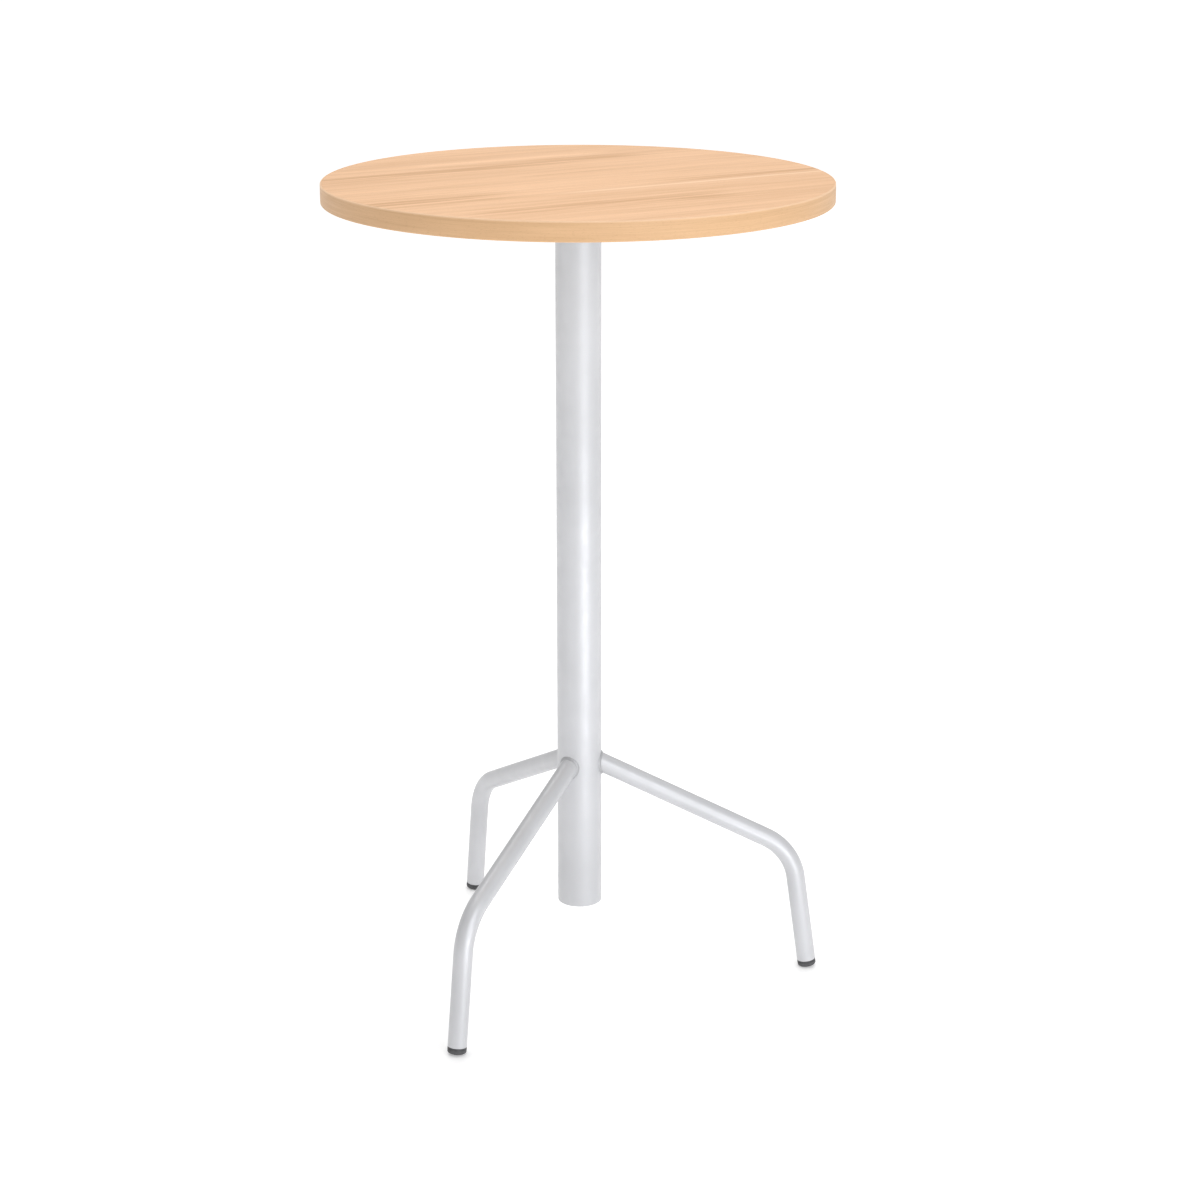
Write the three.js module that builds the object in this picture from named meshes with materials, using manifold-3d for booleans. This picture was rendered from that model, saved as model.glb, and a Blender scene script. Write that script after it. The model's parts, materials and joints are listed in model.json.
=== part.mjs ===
// Standing meeting table: a round beech-effect top on one straight column with three bent tube legs.
// Millimetres, +Z up. The origin is on the floor under the column's axis, and leg 1 points along +X.

import * as THREE from 'three';
import { mergeVertices } from 'three/addons/utils/BufferGeometryUtils.js';
import loadManifold from 'manifold-3d';

// Table top: a chipboard core between two laminate sheets, with a band round its edge
const TABLE_HEIGHT = 1165;
const TOP_DIAMETER = 700;
const TOP_THICKNESS = 26.6;
const LAMINATE_THICKNESS = 0.8;
const EDGE_BAND_THICKNESS = 2;
const EDGE_ROUNDING = 1.8;
const GLUE_LINE = 0.1;
const CLAMP_ZONE_RADIUS = 180;

// Steel plate under the top, and the screws that hold it to the board
const PLATE_SIDE = 240;
const PLATE_THICKNESS = 5;
const PLATE_CORNER = 18;
const SCREW_REACH = 100;
const SCREW_SHANK_DIAMETER = 4.6;
const SCREW_HEAD_DIAMETER = 9.4;
const SCREW_HEAD_HEIGHT = 2.8;
const SCREW_CROWN_DIAMETER = 5.6;
const SCREW_LENGTH = 20;
const SCREW_TIP_LENGTH = 4;
const SCREW_RECESS_SPAN = 4.4;
const SCREW_RECESS_WIDTH = 1;
const SCREW_RECESS_DEPTH = 1.5;

// Column
const COLUMN_DIAMETER = 63.5;
const COLUMN_WALL = 2;
const COLUMN_BOTTOM = 107;
const COLUMN_RIM = 1;
const END_CAP_WALL = 2.5;
const END_CAP_DEPTH = 18;
const PLATE_WELD_SIZE = 4;
const PLATE_WELD_CROWN = 2.4;

// Legs: a sloping run, one bend and a splayed lower run, whose lines meet at the corner
const LEG_COUNT = 3;
const LEG_DIAMETER = 27;
const LEG_WALL = 2;
const LEG_SLOPE = THREE.MathUtils.degToRad(26);
const LEG_SPLAY = THREE.MathUtils.degToRad(8);
const LEG_CORNER_REACH = 311;
const LEG_CORNER_HEIGHT = 185;
const LEG_BEND_RADIUS = 82;
const LEG_BEND_STEPS = 8;
const LEG_WELD_RADIUS = 2.6;

// Feet: a plug and a nut in the leg's end, and a glide screwed into them, with heights along the leg's axis
const PAD_DIAMETER = 26.8;
const PAD_BASE_DIAMETER = 16;
const PAD_SHOULDER_HEIGHT = 4.6;
const PAD_HEIGHT = 8.6;
const PAD_RIM_CHAMFER = 0.5;
const INSERT_FLANGE_THICKNESS = 1.9;
const INSERT_LENGTH = 24;
const INSERT_RIB_COUNT = 4;
const INSERT_RIB_DEPTH = 1;
const NUT_ACROSS_FLATS = 13;
const NUT_HEIGHT = 6.5;
const STUD_DIAMETER = 8;
const STUD_TOP = 48.7;
const STUD_CHAMFER = 1;
const STUD_HEAD_DIAMETER = 12;
const STUD_HEAD_HEIGHT = 1.6;
const STUD_HEAD_BASE = 2.5;

// Clearance between pieces that fit one in another, and how finely round pieces are faceted
const FIT_GAP = 0.3;
const TOP_SEGMENTS = 72;
const COLUMN_SEGMENTS = 48;
const LEG_SEGMENTS = 20;
const PAD_SEGMENTS = 24;
const INSERT_SEGMENTS = 16;
const SCREW_SEGMENTS = 10;
const WELD_STEPS = 32;
const WELD_SIDES = 6;
const ARC_STEPS = 1;
const MERGE_DISTANCE = 1e-4;

const TOP_RADIUS = TOP_DIAMETER / 2;
const TOP_UNDERSIDE = TABLE_HEIGHT - TOP_THICKNESS;
const CORE_RADIUS = TOP_RADIUS - EDGE_BAND_THICKNESS - GLUE_LINE;
const CORE_BOTTOM = TOP_UNDERSIDE + LAMINATE_THICKNESS + GLUE_LINE;
const CORE_TOP = TABLE_HEIGHT - LAMINATE_THICKNESS - GLUE_LINE;
const PLATE_TOP = TOP_UNDERSIDE - GLUE_LINE;
const PLATE_BOTTOM = PLATE_TOP - PLATE_THICKNESS;
const SCREW_HOLE_RADIUS = SCREW_SHANK_DIAMETER / 2 + FIT_GAP;
const COLUMN_RADIUS = COLUMN_DIAMETER / 2;
const COLUMN_BORE = COLUMN_RADIUS - COLUMN_WALL;
const COLUMN_TOP = PLATE_BOTTOM - GLUE_LINE;
const LEG_RADIUS = LEG_DIAMETER / 2;
const LEG_BORE = LEG_RADIUS - LEG_WALL;
const INSERT_FLANGE_BASE = PAD_HEIGHT + FIT_GAP;
const INSERT_FLANGE_TOP = INSERT_FLANGE_BASE + INSERT_FLANGE_THICKNESS;
const INSERT_TOP = INSERT_FLANGE_TOP + INSERT_LENGTH;
const LEG_END = INSERT_FLANGE_TOP + FIT_GAP;
const NUT_POCKET_BASE = INSERT_TOP - NUT_HEIGHT - FIT_GAP;
const FOOT_REACH = LEG_CORNER_REACH + LEG_CORNER_HEIGHT * Math.tan(LEG_SPLAY);

const wasm = await loadManifold();
wasm.setup();

const finishes = {
  beech: { color: 0xf0c79c, roughness: 0.5, metalness: 0 },
  beechEdge: { color: 0xe6bb8d, roughness: 0.5, metalness: 0 },
  chipboard: { color: 0xc7a674, roughness: 0.9, metalness: 0 },
  backing: { color: 0xe4ddd0, roughness: 0.7, metalness: 0 },
  silverCoat: { color: 0xc9cacf, roughness: 0.45, metalness: 0.3 },
  darkPlastic: { color: 0x4a4a4c, roughness: 0.55, metalness: 0 },
  zinc: { color: 0xb9bdc2, roughness: 0.35, metalness: 1 },
};

function piece(name, geometry, finish) {
  const mesh = new THREE.Mesh(geometry, new THREE.MeshStandardMaterial(finishes[finish]));
  mesh.name = name;
  return mesh;
}

// A closed geometry as a solid that can be cut
function toSolid(geometry) {
  const bare = geometry.clone();
  bare.deleteAttribute('normal');
  bare.deleteAttribute('uv');
  const merged = mergeVertices(bare, MERGE_DISTANCE);
  const corners = merged.index.array;
  const triangles = [];
  for (let i = 0; i < corners.length; i += 3) {
    const [a, b, c] = corners.slice(i, i + 3);
    if (a !== b && b !== c && c !== a) {
      triangles.push(a, b, c);
    }
  }
  return new wasm.Manifold(new wasm.Mesh({
    numProp: 3,
    vertProperties: merged.attributes.position.array,
    triVerts: Uint32Array.from(triangles),
  }));
}

// A geometry with each of the tools cut out of it
function cut(geometry, tools) {
  let solid = toSolid(geometry);
  for (const tool of tools) {
    solid = solid.subtract(toSolid(tool));
  }
  const mesh = solid.getMesh();
  const result = new THREE.BufferGeometry();
  result.setAttribute('position', new THREE.BufferAttribute(mesh.vertProperties, 3));
  result.setIndex(new THREE.BufferAttribute(mesh.triVerts, 1));
  result.computeVertexNormals();
  return result;
}

// A profile path of radius and height, going up its outer side, turned about Z
function turned(profile, segments, startAngle = 0) {
  return new THREE.LatheGeometry(profile.getPoints(ARC_STEPS), segments, startAngle).rotateX(Math.PI / 2);
}

// A round bar along Z from one height to another
function roundBar(radius, bottom, top, segments) {
  const bar = new THREE.CylinderGeometry(radius, radius, top - bottom, segments);
  return bar.rotateX(Math.PI / 2).translate(0, 0, (bottom + top) / 2);
}

// A regular outline with the given distance across its flats
function hexagon(acrossFlats) {
  const shape = new THREE.Shape();
  const cornerRadius = acrossFlats / Math.sqrt(3);
  for (let i = 0; i < 6; i++) {
    const angle = i * Math.PI / 3;
    const point = new THREE.Vector2(cornerRadius, 0).rotateAround(new THREE.Vector2(), angle);
    if (i === 0) {
      shape.moveTo(point.x, point.y);
    } else {
      shape.lineTo(point.x, point.y);
    }
  }
  shape.closePath();
  return shape;
}

function circleHole(x, y, radius) {
  return new THREE.Path().absarc(x, y, radius, 0, 2 * Math.PI);
}

function extruded(shape, bottom, top, curveSegments) {
  const settings = { depth: top - bottom, bevelEnabled: false, curveSegments };
  return new THREE.ExtrudeGeometry(shape, settings).translate(0, 0, bottom);
}

// The screws stand on a square, at its corners and at the middle of each side
function screwPlaces() {
  const places = [];
  for (const x of [-SCREW_REACH, 0, SCREW_REACH]) {
    for (const y of [-SCREW_REACH, 0, SCREW_REACH]) {
      if (x !== 0 || y !== 0) {
        places.push(new THREE.Vector2(x, y));
      }
    }
  }
  return places;
}

function screwHoles(bottom, top) {
  return screwPlaces().map(({ x, y }) => (
    roundBar(SCREW_HOLE_RADIUS, bottom, top, SCREW_SEGMENTS).translate(x, y, 0)
  ));
}

function tableTop() {
  const group = new THREE.Group();
  const screwTip = PLATE_BOTTOM + SCREW_LENGTH + FIT_GAP;
  const board = roundBar(CORE_RADIUS, CORE_BOTTOM, CORE_TOP, TOP_SEGMENTS);
  const upperSheet = roundBar(CORE_RADIUS, CORE_TOP + GLUE_LINE, TABLE_HEIGHT, TOP_SEGMENTS);
  group.add(piece('top_core', cut(board, screwHoles(PLATE_BOTTOM, screwTip)), 'chipboard'));
  group.add(piece('top_laminate', upperSheet, 'beech'));
  group.add(piece('underside_laminate', lowerSheet(), 'backing'));
  group.add(piece('edge_band', edgeBand(), 'beechEdge'));
  return group;
}

// The sheet under the board, whose facets outside the plate are clear for a clamp
function lowerSheet() {
  const top = CORE_BOTTOM - GLUE_LINE;
  const profile = new THREE.Path();
  profile.moveTo(0, TOP_UNDERSIDE);
  profile.lineTo(CLAMP_ZONE_RADIUS, TOP_UNDERSIDE);
  profile.lineTo(CORE_RADIUS, TOP_UNDERSIDE);
  profile.lineTo(CORE_RADIUS, top);
  profile.lineTo(0, top);
  return cut(turned(profile, TOP_SEGMENTS), screwHoles(PLATE_BOTTOM, CORE_BOTTOM));
}

// The band that closes the board's edge, with both outer arrises rounded
function edgeBand() {
  const inner = TOP_RADIUS - EDGE_BAND_THICKNESS;
  const arcCentre = TOP_RADIUS - EDGE_ROUNDING;
  const profile = new THREE.Path();
  profile.moveTo(inner, TOP_UNDERSIDE);
  profile.lineTo(arcCentre, TOP_UNDERSIDE);
  profile.absarc(arcCentre, TOP_UNDERSIDE + EDGE_ROUNDING, EDGE_ROUNDING, -Math.PI / 2, 0);
  profile.absarc(arcCentre, TABLE_HEIGHT - EDGE_ROUNDING, EDGE_ROUNDING, 0, Math.PI / 2);
  profile.lineTo(inner, TABLE_HEIGHT);
  profile.lineTo(inner, TOP_UNDERSIDE);
  return turned(profile, TOP_SEGMENTS);
}

function topPlate() {
  const straight = PLATE_SIDE / 2 - PLATE_CORNER;
  const shape = new THREE.Shape();
  shape.absarc(straight, straight, PLATE_CORNER, 0, Math.PI / 2);
  shape.absarc(-straight, straight, PLATE_CORNER, Math.PI / 2, Math.PI);
  shape.absarc(-straight, -straight, PLATE_CORNER, Math.PI, 1.5 * Math.PI);
  shape.absarc(straight, -straight, PLATE_CORNER, 1.5 * Math.PI, 2 * Math.PI);
  shape.holes = screwPlaces().map(({ x, y }) => circleHole(x, y, SCREW_HOLE_RADIUS));
  return extruded(shape, PLATE_BOTTOM, PLATE_TOP, SCREW_SEGMENTS / 2);
}

// A pan-head screw pointing up, with the underside of its head at height zero and a cross recess below
function topScrew() {
  const shank = SCREW_SHANK_DIAMETER / 2;
  const head = SCREW_HEAD_DIAMETER / 2;
  const profile = new THREE.Path();
  profile.moveTo(0, -SCREW_HEAD_HEIGHT);
  profile.lineTo(SCREW_CROWN_DIAMETER / 2, -SCREW_HEAD_HEIGHT);
  profile.lineTo(head, -SCREW_HEAD_HEIGHT / 2);
  profile.lineTo(head, 0);
  profile.lineTo(shank, 0);
  profile.lineTo(shank, SCREW_LENGTH - SCREW_TIP_LENGTH);
  profile.lineTo(0, SCREW_LENGTH);
  const recessCentre = SCREW_RECESS_DEPTH / 2 - SCREW_HEAD_HEIGHT;
  const recessSlot = new THREE.BoxGeometry(SCREW_RECESS_SPAN, SCREW_RECESS_WIDTH, SCREW_RECESS_DEPTH);
  recessSlot.translate(0, 0, recessCentre - FIT_GAP);
  const crossedSlot = recessSlot.clone().rotateZ(Math.PI / 2);
  return cut(turned(profile, SCREW_SEGMENTS), [recessSlot, crossedSlot]);
}

function topFixings() {
  const group = new THREE.Group();
  group.add(piece('top_plate', topPlate(), 'silverCoat'));
  group.add(piece('top_plate_weld', plateWeld(), 'silverCoat'));
  screwPlaces().forEach(({ x, y }, i) => {
    const screw = piece(`top_screw_${i + 1}`, topScrew(), 'zinc');
    screw.position.set(x, y, PLATE_BOTTOM - GLUE_LINE);
    group.add(screw);
  });
  return group;
}

// The fillet weld in the corner between the column and the plate
function plateWeld() {
  const inner = COLUMN_RADIUS + FIT_GAP;
  const top = PLATE_BOTTOM - FIT_GAP;
  const profile = new THREE.Path();
  profile.moveTo(inner, top - PLATE_WELD_SIZE);
  profile.lineTo(inner + PLATE_WELD_CROWN, top - PLATE_WELD_CROWN);
  profile.lineTo(inner + PLATE_WELD_SIZE, top);
  profile.lineTo(inner, top);
  profile.lineTo(inner, top - PLATE_WELD_SIZE);
  return turned(profile, COLUMN_SEGMENTS);
}

// The column's tube, open at both ends, with a softened lower rim
function columnTube() {
  const profile = new THREE.Path();
  profile.moveTo(COLUMN_BORE, COLUMN_BOTTOM);
  profile.lineTo(COLUMN_RADIUS - COLUMN_RIM, COLUMN_BOTTOM);
  profile.absarc(COLUMN_RADIUS - COLUMN_RIM, COLUMN_BOTTOM + COLUMN_RIM, COLUMN_RIM, -Math.PI / 2, 0);
  profile.lineTo(COLUMN_RADIUS, COLUMN_TOP);
  profile.lineTo(COLUMN_BORE, COLUMN_TOP);
  profile.lineTo(COLUMN_BORE, COLUMN_BOTTOM);
  return turned(profile, COLUMN_SEGMENTS);
}

// A cup-shaped plug in the column's lower end, set in level with the rim's rounding
function columnEndCap() {
  const outer = COLUMN_BORE - FIT_GAP;
  const bottom = COLUMN_BOTTOM + COLUMN_RIM;
  const profile = new THREE.Path();
  profile.moveTo(0, bottom);
  profile.lineTo(outer, bottom);
  profile.lineTo(outer, bottom + END_CAP_DEPTH);
  profile.lineTo(outer - END_CAP_WALL, bottom + END_CAP_DEPTH);
  profile.lineTo(outer - END_CAP_WALL, bottom + END_CAP_WALL);
  profile.lineTo(0, bottom + END_CAP_WALL);
  return turned(profile, COLUMN_SEGMENTS);
}

function column() {
  const group = new THREE.Group();
  group.add(piece('column_tube', columnTube(), 'silverCoat'));
  group.add(piece('column_end_cap', columnEndCap(), 'darkPlastic'));
  return group;
}

// A leg's centreline in the XZ plane, sampled only where the tube changes direction
class LegCentreline extends THREE.Curve {
  constructor() {
    super();
    const down = new THREE.Vector3(Math.cos(LEG_SLOPE), 0, -Math.sin(LEG_SLOPE));
    const splayed = new THREE.Vector3(Math.sin(LEG_SPLAY), 0, -Math.cos(LEG_SPLAY));
    const corner = new THREE.Vector3(LEG_CORNER_REACH, 0, LEG_CORNER_HEIGHT);
    const foot = new THREE.Vector3(FOOT_REACH, 0, 0);
    const turn = down.angleTo(splayed);
    const setBack = LEG_BEND_RADIUS * Math.tan(turn / 2);
    const bendStart = corner.clone().addScaledVector(down, -setBack);
    const toCentre = new THREE.Vector3(-Math.sin(LEG_SLOPE), 0, -Math.cos(LEG_SLOPE));
    const bendCentre = bendStart.clone().addScaledVector(toCentre, LEG_BEND_RADIUS);
    const runLength = (LEG_CORNER_REACH - COLUMN_RADIUS / 2) / Math.cos(LEG_SLOPE);
    const bendAxis = new THREE.Vector3(0, 1, 0);
    this.points = [corner.clone().addScaledVector(down, -runLength)];
    this.tangents = [down];
    for (let i = 0; i <= LEG_BEND_STEPS; i++) {
      const angle = turn * i / LEG_BEND_STEPS;
      const spoke = toCentre.clone().multiplyScalar(-LEG_BEND_RADIUS).applyAxisAngle(bendAxis, angle);
      this.points.push(bendCentre.clone().add(spoke));
      this.tangents.push(down.clone().applyAxisAngle(bendAxis, angle));
    }
    this.points.push(foot.addScaledVector(splayed, -LEG_END));
    this.tangents.push(splayed);
  }

  get steps() {
    return this.points.length - 1;
  }

  getUtoTmapping(u) {
    return u;
  }

  getPoint(t, target = new THREE.Vector3()) {
    return target.copy(this.points[Math.round(t * this.steps)]);
  }

  getTangent(t, target = new THREE.Vector3()) {
    return target.copy(this.tangents[Math.round(t * this.steps)]);
  }
}

// A leg's bent tube, its upper end shaped to the column
function legTube() {
  const section = new THREE.Shape().absarc(0, 0, LEG_RADIUS, 0, 2 * Math.PI);
  section.holes.push(circleHole(0, 0, LEG_BORE));
  const extrudePath = new LegCentreline();
  const settings = { steps: extrudePath.steps, extrudePath, curveSegments: LEG_SEGMENTS / 2 };
  return cut(new THREE.ExtrudeGeometry(section, settings), [columnClearance()]);
}

function columnClearance() {
  return roundBar(COLUMN_RADIUS + FIT_GAP, COLUMN_BOTTOM, COLUMN_TOP, COLUMN_SEGMENTS);
}

// Turns a piece made along Z on to the line of the leg's upper run, from the column's axis outwards
function alongUpperRun(geometry) {
  const height = LEG_CORNER_HEIGHT + LEG_CORNER_REACH * Math.tan(LEG_SLOPE);
  return geometry.rotateY(Math.PI / 2 + LEG_SLOPE).translate(0, 0, height);
}

// The weld bead along the saddle curve where the leg's surface meets the column's
function legWeld() {
  const bead = new THREE.TorusGeometry(LEG_RADIUS, LEG_WELD_RADIUS, WELD_SIDES, WELD_STEPS);
  const position = bead.attributes.position;
  for (let i = 0; i < position.count; i++) {
    const angle = Math.atan2(position.getY(i), position.getX(i));
    const columnReach = Math.sqrt(COLUMN_RADIUS ** 2 - (LEG_RADIUS * Math.sin(angle)) ** 2);
    const rise = LEG_RADIUS * Math.cos(angle) * Math.sin(LEG_SLOPE);
    const saddle = (columnReach + rise) / Math.cos(LEG_SLOPE);
    position.setZ(i, position.getZ(i) + saddle);
  }
  const legClearance = roundBar(LEG_RADIUS + FIT_GAP, 0, LEG_CORNER_REACH / 2, LEG_SEGMENTS);
  return cut(alongUpperRun(bead), [alongUpperRun(legClearance), columnClearance()]);
}

// A ribbed plug that closes the leg's end, with a flange outside and a pocket for the nut inside
function legInsert() {
  const flange = PAD_DIAMETER / 2;
  const rib = LEG_BORE - FIT_GAP;
  const body = rib - INSERT_RIB_DEPTH;
  const ribPitch = INSERT_LENGTH / INSERT_RIB_COUNT;
  const bore = STUD_DIAMETER / 2 + FIT_GAP;
  const profile = new THREE.Path();
  profile.moveTo(bore, INSERT_FLANGE_BASE);
  profile.lineTo(flange, INSERT_FLANGE_BASE);
  profile.lineTo(flange, INSERT_FLANGE_TOP);
  profile.lineTo(body, INSERT_FLANGE_TOP);
  for (let i = 0; i < INSERT_RIB_COUNT; i++) {
    const base = INSERT_FLANGE_TOP + i * ribPitch;
    profile.lineTo(rib, base + ribPitch / 2);
    profile.lineTo(body, base + ribPitch);
  }
  profile.lineTo(bore, INSERT_TOP);
  profile.lineTo(bore, INSERT_FLANGE_BASE);
  const pocketOutline = hexagon(NUT_ACROSS_FLATS + 2 * FIT_GAP);
  const nutPocket = extruded(pocketOutline, NUT_POCKET_BASE, INSERT_TOP + FIT_GAP);
  return cut(turned(profile, INSERT_SEGMENTS), [nutPocket]);
}

function insertNut() {
  const shape = hexagon(NUT_ACROSS_FLATS);
  shape.holes.push(circleHole(0, 0, STUD_DIAMETER / 2 + FIT_GAP));
  const base = NUT_POCKET_BASE + FIT_GAP;
  return extruded(shape, base, base + NUT_HEIGHT, INSERT_SEGMENTS / 2);
}

// The glide's steel stud, with a flat head that the pad is moulded round
function glideStud() {
  const radius = STUD_DIAMETER / 2;
  const headTop = STUD_HEAD_BASE + STUD_HEAD_HEIGHT;
  const profile = new THREE.Path();
  profile.moveTo(0, STUD_HEAD_BASE);
  profile.lineTo(STUD_HEAD_DIAMETER / 2, STUD_HEAD_BASE);
  profile.lineTo(STUD_HEAD_DIAMETER / 2, headTop);
  profile.lineTo(radius, headTop);
  profile.lineTo(radius, STUD_TOP - STUD_CHAMFER);
  profile.lineTo(radius - STUD_CHAMFER, STUD_TOP);
  profile.lineTo(0, STUD_TOP);
  return turned(profile, INSERT_SEGMENTS);
}

// The glide's domed pad, with a base cone as shallow as the leg's splay, so one facet lies flat on the floor
function glidePad() {
  const radius = PAD_DIAMETER / 2;
  const baseRadius = PAD_BASE_DIAMETER / 2;
  const halfSegment = Math.PI / PAD_SEGMENTS;
  const baseRise = baseRadius * Math.cos(halfSegment) * Math.tan(LEG_SPLAY);
  const headSeat = STUD_HEAD_BASE - FIT_GAP;
  const headRoof = STUD_HEAD_BASE + STUD_HEAD_HEIGHT + FIT_GAP;
  const pocket = STUD_HEAD_DIAMETER / 2 + FIT_GAP;
  const neck = STUD_DIAMETER / 2 + FIT_GAP;
  const profile = new THREE.Path();
  profile.moveTo(0, 0);
  profile.lineTo(baseRadius, baseRise);
  const shoulderRise = PAD_SHOULDER_HEIGHT - baseRise;
  profile.absellipse(baseRadius, PAD_SHOULDER_HEIGHT, radius - baseRadius, shoulderRise, -Math.PI / 2, 0);
  profile.lineTo(radius, PAD_HEIGHT - PAD_RIM_CHAMFER);
  profile.lineTo(radius - PAD_RIM_CHAMFER, PAD_HEIGHT);
  profile.lineTo(neck, PAD_HEIGHT);
  profile.lineTo(neck, headRoof);
  profile.lineTo(pocket, headRoof);
  profile.lineTo(pocket, headSeat);
  profile.lineTo(0, headSeat);
  return turned(profile, PAD_SEGMENTS, halfSegment);
}

function foot(number) {
  const group = new THREE.Group();
  group.position.x = FOOT_REACH;
  group.rotation.y = -LEG_SPLAY;
  group.add(piece(`leg_insert_${number}`, legInsert(), 'darkPlastic'));
  group.add(piece(`insert_nut_${number}`, insertNut(), 'zinc'));
  group.add(piece(`glide_stud_${number}`, glideStud(), 'zinc'));
  group.add(piece(`glide_pad_${number}`, glidePad(), 'darkPlastic'));
  return group;
}

function leg(number) {
  const group = new THREE.Group();
  group.rotation.z = (number - 1) * 2 * Math.PI / LEG_COUNT;
  group.add(piece(`leg_tube_${number}`, legTube(), 'silverCoat'));
  group.add(piece(`leg_weld_${number}`, legWeld(), 'silverCoat'));
  group.add(foot(number));
  return group;
}

function standingTable() {
  const table = new THREE.Group();
  table.add(tableTop(), topFixings(), column());
  for (let number = 1; number <= LEG_COUNT; number++) {
    table.add(leg(number));
  }
  return table;
}

export default standingTable();
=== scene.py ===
import json
import math

import bmesh
import bpy
from mathutils import Matrix, Vector

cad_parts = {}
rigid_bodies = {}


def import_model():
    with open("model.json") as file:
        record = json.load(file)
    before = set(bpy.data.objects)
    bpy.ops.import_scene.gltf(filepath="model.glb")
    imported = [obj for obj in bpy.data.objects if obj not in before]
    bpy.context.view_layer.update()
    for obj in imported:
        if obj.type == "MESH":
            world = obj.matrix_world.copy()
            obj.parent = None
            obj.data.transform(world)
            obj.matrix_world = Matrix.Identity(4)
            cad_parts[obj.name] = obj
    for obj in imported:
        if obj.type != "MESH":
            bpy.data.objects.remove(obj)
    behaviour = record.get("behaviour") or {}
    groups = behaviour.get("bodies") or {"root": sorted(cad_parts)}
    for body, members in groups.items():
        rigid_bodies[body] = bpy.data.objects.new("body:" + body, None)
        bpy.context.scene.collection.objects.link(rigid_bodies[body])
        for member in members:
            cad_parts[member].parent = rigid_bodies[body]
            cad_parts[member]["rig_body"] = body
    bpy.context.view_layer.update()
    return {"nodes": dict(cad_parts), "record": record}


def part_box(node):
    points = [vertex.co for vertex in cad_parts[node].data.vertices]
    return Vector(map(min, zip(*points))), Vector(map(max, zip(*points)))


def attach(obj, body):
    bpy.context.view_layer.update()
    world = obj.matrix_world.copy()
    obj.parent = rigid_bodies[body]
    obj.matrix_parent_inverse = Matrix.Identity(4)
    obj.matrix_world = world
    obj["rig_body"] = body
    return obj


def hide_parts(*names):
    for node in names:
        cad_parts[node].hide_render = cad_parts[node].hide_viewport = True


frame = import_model()
SLOTS = {row["node"]: row["material_slot"] for row in frame["record"]["subparts"]}

# Sizes in metres, taken from the frame
BAND_LOW, BAND_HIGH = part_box("edge_band")
SHEET_LOW, SHEET_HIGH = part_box("top_laminate")
BACKING_LOW, BACKING_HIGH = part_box("underside_laminate")
PLATE_LOW, PLATE_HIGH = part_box("top_plate")
COLUMN_LOW, COLUMN_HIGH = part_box("column_tube")
CAP_LOW, CAP_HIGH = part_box("column_end_cap")
SCREW_LOW, SCREW_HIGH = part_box("top_screw_1")
TOP_RADIUS = BAND_HIGH.x
SHEET_RADIUS = SHEET_HIGH.x
BACKING_RADIUS = BACKING_HIGH.x
COLUMN_RADIUS = COLUMN_HIGH.x
CAP_RADIUS = CAP_HIGH.x
PLATE_HALF = PLATE_HIGH.x

# Clear gap between pieces that fit together
FIT_GAP = 0.0003

# Table top
BAND_THICKNESS = 0.002
BAND_ROUNDING = 0.0018
SHEET_ARRIS = 0.0002

# Plate and its screws
PLATE_CORNER = 0.018
PLATE_ARRIS = 0.0006
PLATE_WELD_SIZE = 0.004
SCREW_REACH = 0.1
SCREW_HOLE = 0.0026
SCREW_HEAD = 0.0047
SCREW_HEAD_HEIGHT = 0.0028
SCREW_CROWN_ROUNDING = 0.0018
SCREW_SHANK = 0.0023
SCREW_CORE = 0.0016
SCREW_PITCH = 0.0018
SCREW_TIP = 0.004
RECESS_SPAN = 0.0023
RECESS_HALF_WIDTH = 0.0005
RECESS_DEPTH = 0.0015
RECESS_TAPER = 0.6

# Column and the plug in its lower end
COLUMN_WALL = 0.002
COLUMN_RIM = 0.001
CAP_WALL = 0.0025
CAP_DISH = 0.0006
CAP_DISH_RADIUS = 0.022
CAP_ROUNDING = 0.0012

# Legs: the corner is where the lines of a leg's two straight runs meet, out from the column and up
LEG_COUNT = 3
LEG_RADIUS = 0.0135
LEG_WALL = 0.002
LEG_BORE = LEG_RADIUS - LEG_WALL
LEG_SLOPE = math.radians(26)
LEG_SPLAY = math.radians(8)
LEG_CORNER = Vector((0.311, 0.185))
LEG_BEND_RADIUS = 0.082
LEG_RIM = 0.0005
LEG_WELD_SIZE = 0.0026
# How far along the upper run from the column's axis the tube is sure to be past its coped end
COPE_CLEARANCE = 2 * COLUMN_RADIUS

# Feet, with heights along the leg's axis from the floor
FOOT_REACH = LEG_CORNER.x + LEG_CORNER.y * math.tan(LEG_SPLAY)
PAD_RADIUS = 0.0134
PAD_BASE_RADIUS = 0.008
PAD_SHOULDER = 0.0046
PAD_HEIGHT = 0.0086
PAD_RIM = 0.0005
STUD_MAJOR = 0.004
STUD_MINOR = 0.0033
STUD_PITCH = 0.00125
STUD_TOP = 0.0487
STUD_CHAMFER = 0.001
STUD_HEAD = 0.006
STUD_HEAD_HEIGHT = 0.0016
STUD_HEAD_BASE = 0.0025
STUD_HEAD_TOP = STUD_HEAD_BASE + STUD_HEAD_HEIGHT
STUD_BORE = STUD_MAJOR + FIT_GAP
FLANGE_THICKNESS = 0.0019
FLANGE_BASE = PAD_HEIGHT + FIT_GAP
FLANGE_TOP = FLANGE_BASE + FLANGE_THICKNESS
FLANGE_ROUNDING = 0.0003
LEG_END = FLANGE_TOP + FIT_GAP
INSERT_LENGTH = 0.024
INSERT_TOP = FLANGE_TOP + INSERT_LENGTH
INSERT_RIBS = 4
INSERT_RIB_DEPTH = 0.001
INSERT_RIB_RADIUS = LEG_BORE - FIT_GAP
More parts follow.
